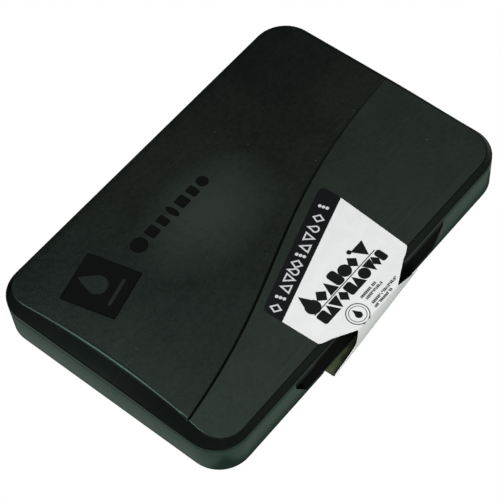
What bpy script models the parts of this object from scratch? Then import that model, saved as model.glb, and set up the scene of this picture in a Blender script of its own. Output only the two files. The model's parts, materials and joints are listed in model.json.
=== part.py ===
"""Felt stamp pad of the number 1 size, in a hinged moulded case held shut by a wrap-round label.

Every length here is in millimetres and becomes metres where the meshes are made. X runs along the long
side, -Y is the front with its finger recess and label, +Y is the hinge side and Z is up. The lengths are
taken from the middle of the case, on the surface that it rests on. At the end everything moves back by
CASE_BACK, so that the origin is under the middle of the box round the case, its label and its hinge.
"""
import math

import bmesh
import bpy
from mathutils import Vector

MM = 0.001
GAP = 0.3                       # clearance between pieces that touch on the real object

# Case
CASE_X, CASE_Y = 62.5, 41.0     # half length and half depth
CASE_BACK = 1.42                # how far the middle of the case is behind the origin
CORNER = 10.0                   # radius of the case's corners in plan
WALL = 1.5
FOOT_W, FOOT_DEEP = 3.0, 0.8    # rim that the case stands on
SEAM_Z = 10.8                   # the lid meets the base here
EDGE_Z = 14.0                   # height of the lid's top at its corners
TOP_X, TOP_Y = 60.3, 39.5       # half length and half depth of the lid's top
TOP_CORNER = 8.5
TOP_BOW = 2.8                   # how far the top's left edge is drawn in at its middle
CROWN_ALONG, CROWN_ACROSS = 0.5, 0.6
LID_WALL = 1.4
CEILING_X, CEILING_Y, CEILING_CORNER = 58.9, 38.5, 7.1   # underside of the lid's top
RIB_OUTER, RIB_INNER = (58.3, 38.3, 5.8), (57.2, 37.2, 4.7)
# Side of the lid between its vertical edge and its top: half length, half depth, corner radius, height,
# share of the bow and share of the crown
LID_SIDE = ((61.6, 40.3, 9.5, 12.9, 0.3, 0.5), (60.9, 39.8, 9.0, 13.75, 0.75, 0.9))

# Inked pad, 2-3/4 by 4-1/4 inches
PAD_X, PAD_Y = 54.0, 35.0
PAD_CORNER = 2.5
FLOOR_Z = 2.4                   # top of the base's floor
BOARD_THICK = 1.3
FACING_THICK = 1.0
CLOTH_THICK = 0.5
CLOTH_TOP = 11.5

# Frame round the pad
DECK_TOP, DECK_THICK = 10.35, 0.8
COLLAR_THICK = 1.0

# Finger recess in the front wall and the lip of the lid above it
RECESS_X, RECESS_FOOT_X = 32.5, 28.5
RECESS_BOTTOM, RECESS_TOP = 1.6, 8.2
RECESS_BACK = -37.7
RECESS_WALL_X, RECESS_WALL_Y, RECESS_WALL_Z = 34.5, (-40.2, -36.6), (1.2, 9.25)   # block it is cut into
LIP_BOTTOM, LIP_THICK = 9.0, 1.3

# Hinge, tucked under the lid's back edge
AXIS_Y, AXIS_Z = 41.2, 8.0
BARREL_R, PEG_R = 1.6, 0.8
EAR_WEB = ((39.7, 8.0), (42.7, 8.0), (42.2, 9.2), (41.5, 10.6), (40.8, 11.9), (39.7, 11.9))
KNUCKLE_WEB = ((40.2, 5.4), (41.0, 5.4), (42.3, 7.0), (42.3, 9.0), (40.2, 9.4))
EAR_X, EAR_HALF = 38.0, 3.0     # middle and half width of each ear of the lid
KNUCKLE_W, PEG_LONG = 3.0, 2.4
SIDE_PLAY = 0.4
NOTCH_FRONT, NOTCH_BACK, NOTCH_FLOOR = 39.0, 42.9, 4.9   # floor clears the ear when the lid is right back

# Label, and the shallow pocket under the base where it is stuck down
LABEL_THICK = 0.3
LABEL_LEFT, LABEL_RIGHT = -22.2, 19.1
LABEL_EAVES = -20.9, 17.0         # its two sides just in front of the lid
LABEL_TOP_LEFT, LABEL_TOP_RIGHT = -23.0, -9.4   # where its slanted upper edge meets its two sides
WAIST_LEFT, WAIST_RIGHT = -11.4, 6.0
WAIST_Y, WAIST_Z = -45.2, 14.5  # the crease at the waist stands off in front of the case
HEEL_LEFT, HEEL_RIGHT = (-20.3, -44.0), (18.7, -41.5)   # (x, y) ends of the bend at the table
LABEL_END_Y, LABEL_UNDER = -28.0, 0.42
# Edges of the label's front between the waist and the bend: height, left x, right x
LABEL_FRONT = ((14.15, -11.4, 6.0), (12.3, -11.4, 9.7), (9.9, -11.4, 13.4), (5.8, -11.5, 17.5),
               (4.0, -13.5, 18.6), (2.8, -17.5, 18.7), (1.4, -20.3, 18.7))
POCKET = (-21.4, 19.5, -42.0, -27.2, 0.75)

# Moulded marks in the lid's top
PANEL_MIDDLE, PANEL_SIZE, PANEL_TURN = (-42.3, 18.2), (16.0, 17.0), 13.5
PANEL_DEEP = 0.5
GROOVE_R = 0.4

CORNER_STEPS, LONG_STEPS, SHORT_STEPS = 6, 6, 6
ROUND_STEPS = 24


# ---------------------------------------------------------------- helpers

def clear_scene():
    for thing in list(bpy.data.objects):
        bpy.data.objects.remove(thing, do_unlink=True)


def material(name, colour, roughness, metallic=0.0):
    made = bpy.data.materials.new(name)
    made.use_nodes = True
    shader = made.node_tree.nodes["Principled BSDF"]
    shader.inputs["Base Color"].default_value = (*colour, 1.0)
    shader.inputs["Roughness"].default_value = roughness
    shader.inputs["Metallic"].default_value = metallic
    return made


def outline(half_x, half_y, radius, bow=0.0):
    """Anticlockwise rectangle with round corners; bow draws its left side in at mid-depth."""
    arcs = []
    for side_x, side_y, start in ((1, 1, 0), (-1, 1, 90), (-1, -1, 180), (1, -1, 270)):
        turns = [math.radians(start + 90 * step / CORNER_STEPS) for step in range(CORNER_STEPS + 1)]
        arcs.append([(side_x * (half_x - radius) + radius * math.cos(turn),
                      side_y * (half_y - radius) + radius * math.sin(turn)) for turn in turns])
    points = []
    for index, arc in enumerate(arcs):
        points += arc
        (x0, y0), (x1, y1) = arc[-1], arcs[(index + 1) % 4][0]
        steps = SHORT_STEPS if index % 2 else LONG_STEPS
        points += [(x0 + (x1 - x0) * k / steps, y0 + (y1 - y0) * k / steps) for k in range(1, steps)]
    return [(x + bow * max(0.0, -x / half_x) ** 6 * (1 - (y / half_y) ** 2), y) for x, y in points]


def ring(half_x, half_y, radius, z, bow=0.0):
    return [(x, y, z) for x, y in outline(half_x, half_y, radius, bow)]


def crown(x, y):
    """Rise of the lid's slightly pillowed top above EDGE_Z."""
    return CROWN_ALONG * (1 - (x / CASE_X) ** 2) + CROWN_ACROSS * (1 - (y / CASE_Y) ** 2)


def crowned(points, share=1.0):
    return [(x, y, z + share * crown(x, y)) for x, y, z in points]


def mesh_object(name, bm, finish):
    bmesh.ops.recalc_face_normals(bm, faces=bm.faces)
    mesh = bpy.data.meshes.new(name)
    bm.to_mesh(mesh)
    bm.free()
    made = bpy.data.objects.new(name, mesh)
    bpy.context.collection.objects.link(made)
    if finish:
        mesh.materials.append(finish)
    return made


def loft(name, rings, finish=None, closed=False):
    """Skin through rings of equally many points; the two ends are capped unless the rings close."""
    bm = bmesh.new()
    loops = [[bm.verts.new(Vector(point) * MM) for point in points] for points in rings]
    count = len(loops[0])
    following = loops[1:] + loops[:1] if closed else loops[1:]
    for low, high in zip(loops, following):
        for i in range(count):
            j = (i + 1) % count
            bm.faces.new((low[i], low[j], high[j], high[i]))
    if not closed:
        bm.faces.new(list(reversed(loops[0])))
        bm.faces.new(loops[-1])
    return mesh_object(name, bm, finish)


def prism(name, corners, x0, x1, finish=None):
    """Block between x0 and x1 whose section is given as (y, z) corners."""
    return loft(name, [[(x, y, z) for y, z in corners] for x in (x0, x1)], finish)


def plate(name, corners, z0, z1, finish=None):
    """Block between z0 and z1 whose plan is given as (x, y) corners."""
    return loft(name, [[(x, y, z) for x, y in corners] for z in (z0, z1)], finish)


def box(name, x0, x1, y0, y1, z0, z1):
    return plate(name, [(x0, y0), (x1, y0), (x1, y1), (x0, y1)], z0, z1)


def rod(name, x0, x1, y, z, radius):
    turns = [2 * math.pi * k / ROUND_STEPS for k in range(ROUND_STEPS)]
    return prism(name, [(y + radius * math.cos(t), z + radius * math.sin(t)) for t in turns], x0, x1)


def combine(body, tools, operation):
    """Apply Boolean modifiers one after another and drop the tools."""
    for tool in tools:
        step = body.modifiers.new(tool.name, "BOOLEAN")
        step.operation = operation
        step.solver = "EXACT"
        step.object = tool
        graph = bpy.context.evaluated_depsgraph_get()
        result = bpy.data.meshes.new_from_object(body.evaluated_get(graph))
        body.modifiers.remove(step)
        body.data = result
        bpy.data.objects.remove(tool, do_unlink=True)


def smooth(body, degrees=35):
    body.data.shade_smooth()
    body.data.set_sharp_from_angle(angle=math.radians(degrees))


def place_origin(body, point):
    """Move the object's origin to a point in millimetres without moving its surface."""
    shift = Vector(point) * MM
    for vertex in body.data.vertices:
        vertex.co -= shift
    body.location = shift


# ---------------------------------------------------------------- base

def hinge_knuckle(x0, x1):
    web = prism("web", KNUCKLE_WEB, x0, x1)
    barrel = rod("barrel", x0, x1, AXIS_Y, AXIS_Z, BARREL_R)
    return [web, barrel]


def base_tray(finish):
    foot = CASE_X - FOOT_W, CASE_Y - FOOT_W, CORNER - FOOT_W
    inside = CASE_X - WALL, CASE_Y - WALL, CORNER - WALL
    top = SEAM_Z - GAP / 2
    body = loft("base_tray", [
        ring(*foot, FOOT_DEEP), ring(*foot, 0.0),
        ring(CASE_X - 0.5, CASE_Y - 0.5, CORNER - 0.8, 0.0),
        ring(CASE_X - 0.2, CASE_Y - 0.2, CORNER - 0.8, 0.5),
        ring(CASE_X, CASE_Y, CORNER, top - 0.4), ring(CASE_X - 0.3, CASE_Y - 0.3, CORNER - 0.3, top),
        ring(*inside, top), ring(*inside, FLOOR_Z)], finish)
    added = [box("recess_wall", -RECESS_WALL_X, RECESS_WALL_X, *RECESS_WALL_Y, *RECESS_WALL_Z)]
    for side in (-1, 1):
        for inner in (-1, 1):
            near = side * EAR_X + inner * (EAR_HALF + SIDE_PLAY)
            far = near + inner * KNUCKLE_W
            added += hinge_knuckle(min(near, far), max(near, far))
    combine(body, added, "UNION")
    combine(body, base_cutters(), "DIFFERENCE")
    smooth(body)
    return body


def base_cutters():
    front = -CASE_Y - 1.0
    above = SEAM_Z + 1.0
    slopes = [(-RECESS_FOOT_X, RECESS_BOTTOM), (RECESS_FOOT_X, RECESS_BOTTOM), (RECESS_X, RECESS_TOP),
              (RECESS_X, above), (-RECESS_X, above), (-RECESS_X, RECESS_TOP)]
    cutters = [loft("recess", [[(x, y, z) for x, z in slopes] for y in (front, RECESS_BACK)]),
               box("label_pocket", *POCKET[:4], -1.0, POCKET[4])]
    for side in (-1, 1):
        x = side * EAR_X
        room = EAR_HALF + SIDE_PLAY
        cutters.append(box("ear_notch", x - room, x + room, NOTCH_FRONT, NOTCH_BACK, NOTCH_FLOOR, above))
        reach = EAR_HALF + PEG_LONG + SIDE_PLAY
        cutters.append(rod("socket", x - reach, x + reach, AXIS_Y, AXIS_Z, PEG_R + GAP))
    return cutters


# ---------------------------------------------------------------- pad

def backing_board(finish):
    z = FLOOR_Z + GAP
    inset = CLOTH_THICK + GAP
    return plate("backing_board", outline(PAD_X - inset, PAD_Y - inset, PAD_CORNER - 0.8),
                 z, z + BOARD_THICK, finish)


def felt_layers(core_finish, facing_finish):
    inset = CLOTH_THICK + GAP
    plan = outline(PAD_X - inset, PAD_Y - inset, PAD_CORNER - 0.8)
    facing_top = CLOTH_TOP - CLOTH_THICK - GAP
    core_top = facing_top - FACING_THICK - GAP
    core = plate("felt_core", plan, FLOOR_Z + BOARD_THICK + 2 * GAP, core_top, core_finish)
    facing = plate("felt_facing", plan, core_top + GAP, facing_top, facing_finish)
    return core, facing


def pad_cloth(finish):
    """Cloth drawn over the felt and down its sides, open underneath."""
    inner = PAD_X - CLOTH_THICK, PAD_Y - CLOTH_THICK, PAD_CORNER - CLOTH_THICK
    foot = FLOOR_Z + GAP
    body = loft("pad_cloth", [
        ring(*inner, CLOTH_TOP - CLOTH_THICK), ring(*inner, foot),
        ring(PAD_X, PAD_Y, PAD_CORNER, foot), ring(PAD_X, PAD_Y, PAD_CORNER, CLOTH_TOP - 0.7),
        ring(PAD_X - 0.3, PAD_Y - 0.3, PAD_CORNER - 0.3, CLOTH_TOP - 0.15),
        ring(PAD_X - 1.0, PAD_Y - 1.0, PAD_CORNER - 1.0, CLOTH_TOP)], finish)
    smooth(body)
    return body


def pad_frame(finish):
    """Deck that fills the case round the pad, with a collar standing on the floor against the cloth."""
    hole = PAD_X + GAP, PAD_Y + GAP, PAD_CORNER + GAP
    collar = hole[0] + COLLAR_THICK, hole[1] + COLLAR_THICK, hole[2] + COLLAR_THICK
    edge = CASE_X - WALL - 0.4, CASE_Y - WALL - 0.4, CORNER - WALL - 0.4
    under = DECK_TOP - DECK_THICK
    body = loft("pad_frame", [
        ring(*hole, FLOOR_Z + GAP), ring(*collar, FLOOR_Z + GAP), ring(*collar, under),
        ring(*edge, under), ring(*edge, DECK_TOP - 0.2),
        ring(edge[0] - 0.3, edge[1] - 0.3, edge[2] - 0.3, DECK_TOP),
        ring(hole[0] + 0.5, hole[1] + 0.5, hole[2] + 0.5, DECK_TOP),
        ring(*hole, DECK_TOP - 0.5)], finish, closed=True)
    smooth(body)
    return body


# ---------------------------------------------------------------- lid

def swoosh(x):
    """The S-curve that parts the lid's front field from its back field."""
    return -14.0 + 15.5 * math.tanh((x + 8.0) / 44.0)


def groove_cutter():
    """Thin rod bent along the swoosh, half sunk in the lid's top."""
    sections = []
    for step in range(31):
        x = -61.5 + 123.0 * step / 30
        slope = (swoosh(x + 0.1) - swoosh(x - 0.1)) / 0.2
        across = Vector((-slope, 1.0, 0.0)).normalized()
        middle = Vector((x, swoosh(x), EDGE_Z + crown(x, swoosh(x)) + 0.03))
        sections.append([middle + across * GROOVE_R * math.cos(t) + Vector((0, 0, GROOVE_R * math.sin(t)))
                         for t in (2 * math.pi * k / 8 + math.pi / 8 for k in range(8))])
    return loft("groove", sections)


def panel_cutter():
    half_x, half_y = PANEL_SIZE[0] / 2, PANEL_SIZE[1] / 2
    turn = math.radians(PANEL_TURN)
    corners = [(PANEL_MIDDLE[0] + x * math.cos(turn) - y * math.sin(turn),
                PANEL_MIDDLE[1] + x * math.sin(turn) + y * math.cos(turn))
               for x, y in ((-half_x, -half_y), (half_x, -half_y), (half_x, half_y), (-half_x, half_y))]
    sunk = [(x, y, EDGE_Z + crown(x, y) - PANEL_DEEP) for x, y in corners]
    above = [(x, y, EDGE_Z + 3) for x, y in corners]
    return loft("panel", [sunk, above])


def hinge_ear(x):
    web = prism("web", EAR_WEB, x - EAR_HALF, x + EAR_HALF)
    barrel = rod("barrel", x - EAR_HALF, x + EAR_HALF, AXIS_Y, AXIS_Z, BARREL_R)
    reach = EAR_HALF + PEG_LONG
    pegs = rod("pegs", x - reach, x + reach, AXIS_Y, AXIS_Z, PEG_R)
    return [web, barrel, pegs]


def seal_rib():
    """Low rib under the lid that shuts down on the deck and keeps the ink from drying."""
    foot, root = DECK_TOP + GAP + 0.1, EDGE_Z - 0.9
    return loft("seal_rib", [ring(*RIB_INNER, foot), ring(*RIB_OUTER, foot),
                             ring(*RIB_OUTER, root), ring(*RIB_INNER, root)], closed=True)


def lid_shell(finish):
    rim = SEAM_Z + GAP / 2
    inside = CASE_X - WALL, CASE_Y - WALL, CORNER - WALL
    ceiling = CEILING_X, CEILING_Y, CEILING_CORNER
    shrink = (0.08, 0.35, 0.62, 0.85)
    under = [crowned(ring(ceiling[0] * k, ceiling[1] * k, ceiling[2] * k, EDGE_Z - LID_WALL, TOP_BOW * k))
             for k in shrink]
    over = [crowned(ring(TOP_X * k, TOP_Y * k, TOP_CORNER * k, EDGE_Z, TOP_BOW * k))
            for k in reversed(shrink)]
    rings = under + [
        crowned(ring(*ceiling, EDGE_Z - LID_WALL, TOP_BOW)),
        ring(*inside, rim + 0.5), ring(*inside, rim),
        ring(CASE_X - 0.3, CASE_Y - 0.3, CORNER - 0.3, rim), ring(CASE_X, CASE_Y, CORNER, rim + 0.3),
        ring(CASE_X, CASE_Y, CORNER, rim + 0.8)]
    rings += [crowned(ring(*size, TOP_BOW * bow), share) for *size, bow, share in LID_SIDE]
    rings += [crowned(ring(TOP_X, TOP_Y, TOP_CORNER, EDGE_Z, TOP_BOW))] + over
    body = loft("lid_shell", rings, finish)
    lip = box("lip", 0.3 - RECESS_X, RECESS_X - 0.3, -CASE_Y, LIP_THICK - CASE_Y, LIP_BOTTOM, rim + 0.4)
    added = [lip, seal_rib()]
    for side in (-1, 1):
        added += hinge_ear(side * EAR_X)
    combine(body, added, "UNION")
    combine(body, [groove_cutter(), panel_cutter()], "DIFFERENCE")
    smooth(body)
    place_origin(body, (0, AXIS_Y, AXIS_Z))
    return body


# ---------------------------------------------------------------- label

def strip(name, stations, finish):
    """Sheet of LABEL_THICK through stations of (left x, right x, left y, right y, inner z, y-z normal)."""
    rings = []
    for left, right, left_y, right_y, z_left, z_right, out_y, out_z in stations:
        out = Vector((0, out_y, out_z)).normalized() * LABEL_THICK
        inner_left, inner_right = Vector((left, left_y, z_left)), Vector((right, right_y, z_right))
        rings.append([inner_left, inner_right, inner_right + out, inner_left + out])
    body = loft(name, rings, finish)
    smooth(body, 40)
    return body


def on_top(x, y):
    return EDGE_Z + crown(x, y) + GAP


def label_lid_part(finish):
    """Stuck to the lid's front field, and straight on past its front edge to the crease at the waist."""
    fold = -TOP_Y - 0.1
    stations = []
    for share in (0.0, 0.3, 0.6, 0.85, 1.0):
        left_y = LABEL_TOP_LEFT + (fold - LABEL_TOP_LEFT) * share
        right_y = LABEL_TOP_RIGHT + (fold - LABEL_TOP_RIGHT) * share
        stations.append((LABEL_LEFT + 1.2 * share, LABEL_RIGHT - 1.6 * share, left_y, right_y,
                         on_top(LABEL_LEFT, left_y), on_top(LABEL_RIGHT, right_y), 0.0, 1.0))
    stations += [
        (*LABEL_EAVES, fold - 1.0, fold - 1.0, WAIST_Z + 0.3, WAIST_Z + 0.3, 0.0, 1.0),
        (WAIST_LEFT, WAIST_RIGHT, WAIST_Y, WAIST_Y, WAIST_Z, WAIST_Z, 0.0, 1.0)]
    body = strip("label_lid_part", stations, finish)
    place_origin(body, (0, AXIS_Y, AXIS_Z))
    return body


def heel_y(x):
    """Front of the bend at the table, which runs slantwise in front of the case."""
    (x0, y0), (x1, y1) = HEEL_LEFT, HEEL_RIGHT
    return y0 + (y1 - y0) * (x - x0) / (x1 - x0)


def label_base_part(finish):
    """From the crease down and back to the table, and under the base, where it is stuck in its pocket."""
    crease_y, crease_z = WAIST_Y - 0.15, LABEL_FRONT[0][0]
    stations = []
    for z, left, right in LABEL_FRONT:
        share = (crease_z - z) / (crease_z - LABEL_FRONT[-1][0])
        left_y, right_y = [crease_y + (heel_y(x) - crease_y) * share for x in (left, right)]
        stations.append((left, right, left_y, right_y, z, z, -1.0, -0.15))
    left, right = HEEL_LEFT[0], HEEL_RIGHT[0]
    stations += [
        (left, right, heel_y(left) + 0.2, heel_y(right) + 0.1, 0.8, 0.8, -1.0, -0.6),
        (left, right, heel_y(left) + 0.8, heel_y(right) + 0.5, LABEL_UNDER, LABEL_UNDER, -0.3, -1.0),
        (left, right, -40.5, -40.5, LABEL_UNDER, LABEL_UNDER, 0.0, -1.0),
        (left, right, LABEL_END_Y, LABEL_END_Y, LABEL_UNDER, LABEL_UNDER, 0.0, -1.0)]
    return strip("label_base_part", stations, finish)


# ---------------------------------------------------------------- assembly

def main():
    clear_scene()
    base_tray(material("base_plastic", (0.018, 0.026, 0.023), 0.24))
    backing_board(material("grey_board", (0.30, 0.26, 0.20), 0.9))
    felt_layers(material("felt_core", (0.022, 0.022, 0.025), 0.95),
                material("felt_facing", (0.016, 0.016, 0.019), 0.95))
    pad_cloth(material("inked_cloth", (0.010, 0.010, 0.013), 0.55))
    pad_frame(material("frame_plastic", (0.020, 0.024, 0.023), 0.35))
    lid_shell(material("lid_plastic", (0.018, 0.026, 0.023), 0.22))
    label_lid_part(material("label_front", (0.75, 0.75, 0.75), 0.25))
    label_base_part(material("label_back", (0.72, 0.72, 0.72), 0.25))
    for piece in bpy.data.objects:
        piece.location.y += CASE_BACK * MM


main()
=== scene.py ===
"""Looks of a felt stamp pad in a hinged black case, sealed by a white label.

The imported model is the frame. Lengths are in millimetres from the middle of the case, on the surface it
rests on, and become metres where the meshes are made. X runs along the long side, -Y is the front with
the finger recess, +Y is the hinge side, Z is up.
"""

import json
import math

import bmesh
import bpy
from mathutils import Matrix, Vector, noise


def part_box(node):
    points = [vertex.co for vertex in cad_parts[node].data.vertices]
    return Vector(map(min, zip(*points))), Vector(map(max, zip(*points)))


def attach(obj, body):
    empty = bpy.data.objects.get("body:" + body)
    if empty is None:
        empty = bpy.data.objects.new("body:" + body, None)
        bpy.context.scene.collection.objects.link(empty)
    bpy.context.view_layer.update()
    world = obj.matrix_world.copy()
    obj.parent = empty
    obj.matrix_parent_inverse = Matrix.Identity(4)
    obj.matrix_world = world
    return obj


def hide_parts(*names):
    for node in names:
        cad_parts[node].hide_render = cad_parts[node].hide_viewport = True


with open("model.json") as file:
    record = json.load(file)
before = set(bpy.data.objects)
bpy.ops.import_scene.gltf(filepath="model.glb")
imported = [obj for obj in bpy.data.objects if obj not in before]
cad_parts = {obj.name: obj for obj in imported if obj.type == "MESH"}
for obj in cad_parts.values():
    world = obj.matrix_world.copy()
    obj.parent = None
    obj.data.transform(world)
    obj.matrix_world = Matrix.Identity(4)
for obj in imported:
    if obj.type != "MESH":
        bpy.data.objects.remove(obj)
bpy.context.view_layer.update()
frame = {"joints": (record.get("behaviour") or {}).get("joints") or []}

MM = 0.001
CASE_Y = 41.0                   # half depth of the case
MIDDLE = Vector((0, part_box("base_tray")[0].y / MM + CASE_Y, 0))


def low_high(node):
    """Lowest and highest corner of a CAD node, in millimetres from the middle of the case."""
    low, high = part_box(node)
    return low / MM - MIDDLE, high / MM - MIDDLE


def metres(point):
    """A point in metres, from one in millimetres from the middle of the case."""
    return (Vector(point) + MIDDLE) * MM


# ---------------------------------------------------------------- sizes, from the frame

base_high = low_high("base_tray")[1]
lid_high = low_high("lid_shell")[1]
cloth_low, cloth_high = low_high("pad_cloth")
deck_low, deck_high = low_high("pad_frame")
board_low, board_high = low_high("backing_board")
core_low, core_high = low_high("felt_core")
facing_low, facing_high = low_high("felt_facing")
HINGE = Vector(frame["joints"][0]["pos_m"]) / MM - MIDDLE

CASE_X, CORNER = base_high.x, 10.0
WALL, LID_WALL = 1.5, 1.4
SEAM_Z = base_high.z + 0.15
FLOOR_Z = deck_low.z - 0.3

# The lid's top: how far its crown rises, the height of its corners, its outline and the bow of its left side
CROWN_ALONG, CROWN_ACROSS = 0.5, 0.6
EDGE_Z = lid_high.z - CROWN_ALONG - CROWN_ACROSS
TOP_X, TOP_Y, TOP_CORNER, TOP_BOW = CASE_X - 2.2, CASE_Y - 1.5, 8.5, 3.3
GROOVE_DEEP, GROOVE_HALF = 0.38, 0.42
SWOOSH_X, SWOOSH_RUN = -8.0, 44.0       # where the swoosh is steepest, and half the length it rises over
SWOOSH_Y, SWOOSH_RISE = -14.0, 15.5     # its middle depth, and half of its rise
PANEL_MIDDLE, PANEL_SIZE, PANEL_TURN, PANEL_DEEP = (-42.3, 18.2), (16.0, 17.0), 13.5, 0.5
WORD_Y, WORD_DEEP = 18.6, 0.26

# Outlines (half length, half depth, corner radius) of the rib under the lid
RIB_OUTER, RIB_OUTER_FOOT = (58.3, 38.3, 5.8), (58.15, 38.15, 5.6)
RIB_INNER, RIB_INNER_FOOT = (57.2, 37.2, 4.7), (57.35, 37.35, 4.8)

RECESS_X, RECESS_FOOT_X = 32.5, 28.5
RECESS_BOTTOM, RECESS_TOP, RECESS_BACK = 1.6, 8.2, -37.7
RECESS_WALL_X, RECESS_WALL_LOW, RECESS_WALL_HIGH = 34.5, 1.2, 9.25
LIP_BOTTOM, LIP_THICK = 9.0, 1.3
BARREL_R, PEG_R = base_high.y - HINGE.y, 0.8
EAR_X, EAR_HALF, KNUCKLE_W, PEG_LONG, SIDE_PLAY = 38.0, 3.0, 3.0, 2.4, 0.35
NOTCH_FLOOR = 4.9

# Corners of a rectangle, anticlockwise: the signs of X and Y, and the angle where the corner's arc starts
QUARTERS = ((1, 1, 0), (-1, 1, 90), (-1, -1, 180), (1, -1, 270))


# ---------------------------------------------------------------- mesh helpers

def mesh_object(name, bm, materials):
    bmesh.ops.recalc_face_normals(bm, faces=bm.faces)
    mesh = bpy.data.meshes.new(name)
    bm.to_mesh(mesh)
    bm.free()
    made = bpy.data.objects.new(name, mesh)
    bpy.context.scene.collection.objects.link(made)
    for material in materials:
        mesh.materials.append(material)
    return made


def settle(piece, degrees, body, node):
    """Shade the piece smooth up to an angle, and let it stand for its CAD node on a body."""
    piece.data.shade_smooth()
    piece.data.set_sharp_from_angle(angle=math.radians(degrees))
    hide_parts(node)
    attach(piece, body)


class Rim:
    """A point on a round-cornered outline, kept as shares so that it can be read off any such outline."""

    def __init__(self, along, across, out_x, out_y):
        self.along, self.across, self.out_x, self.out_y = along, across, out_x, out_y

    def at(self, half_x, half_y, radius, bow=0.0):
        x = self.along * (half_x - radius) + radius * self.out_x
        y = self.across * (half_y - radius) + radius * self.out_y
        return bowed(x, half_x, y, half_y, bow), y


def bowed(x, half_x, y, half_y, bow):
    """The left side is drawn in at mid-depth; the shift fades towards the middle of the top."""
    return x + bow * max(0.0, -x / half_x) ** 6 * (1 - (y / half_y) ** 2)


def rims(corner_steps=14, long_steps=30, short_steps=20):
    """Anticlockwise list of Rim points round the whole outline."""
    made = []
    for side_x, side_y, start in QUARTERS:
        for step in range(corner_steps + 1):
            turn = math.radians(start + 90 * step / corner_steps)
            made.append(Rim(side_x, side_y, math.cos(turn), math.sin(turn)))
        if side_x == side_y:
            shares = [1 - 2 * k / long_steps for k in range(1, long_steps)]
            made += [Rim(side_x * share, side_y, 0, side_y) for share in shares]
        else:
            shares = [1 - 2 * k / short_steps for k in range(1, short_steps)]
            made += [Rim(side_x, side_y * share, side_x, 0) for share in shares]
    return made


def rounded(half_x, half_y, radius):
    """Anticlockwise outline of a small rectangle with round corners."""
    points = []
    for side_x, side_y, start in QUARTERS:
        for turn in (math.radians(start + 30 * step) for step in range(4)):
            points.append((side_x * (half_x - radius) + radius * math.cos(turn),
                           side_y * (half_y - radius) + radius * math.sin(turn)))
    return points


def middle_of(outline):
    return sum((Vector(point) for point in outline), Vector((0, 0))) / len(outline)


def loft(name, rings, materials=(), closed=False):
    """Skin through rings of equally many points; the two ends are capped unless the rings close."""
    bm = bmesh.new()
    loops = [[bm.verts.new(metres(point)) for point in points] for points in rings]
    count = len(loops[0])
    following = loops[1:] + loops[:1] if closed else loops[1:]
    for low, high in zip(loops, following):
        for i in range(count):
            j = (i + 1) % count
            bm.faces.new((low[i], low[j], high[j], high[i]))
    if not closed:
        bm.faces.new(list(reversed(loops[0])))
        bm.faces.new(loops[-1])
    return mesh_object(name, bm, materials)


def ring(points, half_x, half_y, radius, z, bow=0.0):
    return [(*point.at(half_x, half_y, radius, bow), z) for point in points]


def prism(name, corners, x0, x1):
    return loft(name, [[(x, y, z) for y, z in corners] for x in (x0, x1)])


def plate(name, corners, z0, z1):
    return loft(name, [[(x, y, z) for x, y in corners] for z in (z0, z1)])


def box(name, x0, x1, y0, y1, z0, z1):
    return plate(name, [(x0, y0), (x1, y0), (x1, y1), (x0, y1)], z0, z1)


def rod(name, x0, x1, y, z, radius, steps=40, round_off=0.0):
    """Rod along X, with its two end edges rounded off."""
    def turn_at(x, r):
        return [(x, y + r * math.cos(t), z + r * math.sin(t))
                for t in (2 * math.pi * k / steps for k in range(steps))]
    if not round_off:
        return loft(name, [turn_at(x0, radius), turn_at(x1, radius)])
    bends = [(round_off * (1 - math.sin(b)), radius - round_off * (1 - math.cos(b)))
             for b in (math.radians(90 * k / 3) for k in range(4))]
    return loft(name, [turn_at(x0 + inset, r) for inset, r in reversed(bends)]
                + [turn_at(x1 - inset, r) for inset, r in bends])


def combine(body, tools, operation):
    """Apply Boolean modifiers one after another and drop the tools."""
    for tool in tools:
        step = body.modifiers.new(tool.name, "BOOLEAN")
        step.operation = operation
        step.solver = "EXACT"
        step.object = tool
        step.material_mode = "TRANSFER"
        graph = bpy.context.evaluated_depsgraph_get()
        result = bpy.data.meshes.new_from_object(body.evaluated_get(graph))
        body.modifiers.remove(step)
        body.data = result
        bpy.data.objects.remove(tool, do_unlink=True)


# ---------------------------------------------------------------- shader helpers

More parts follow.
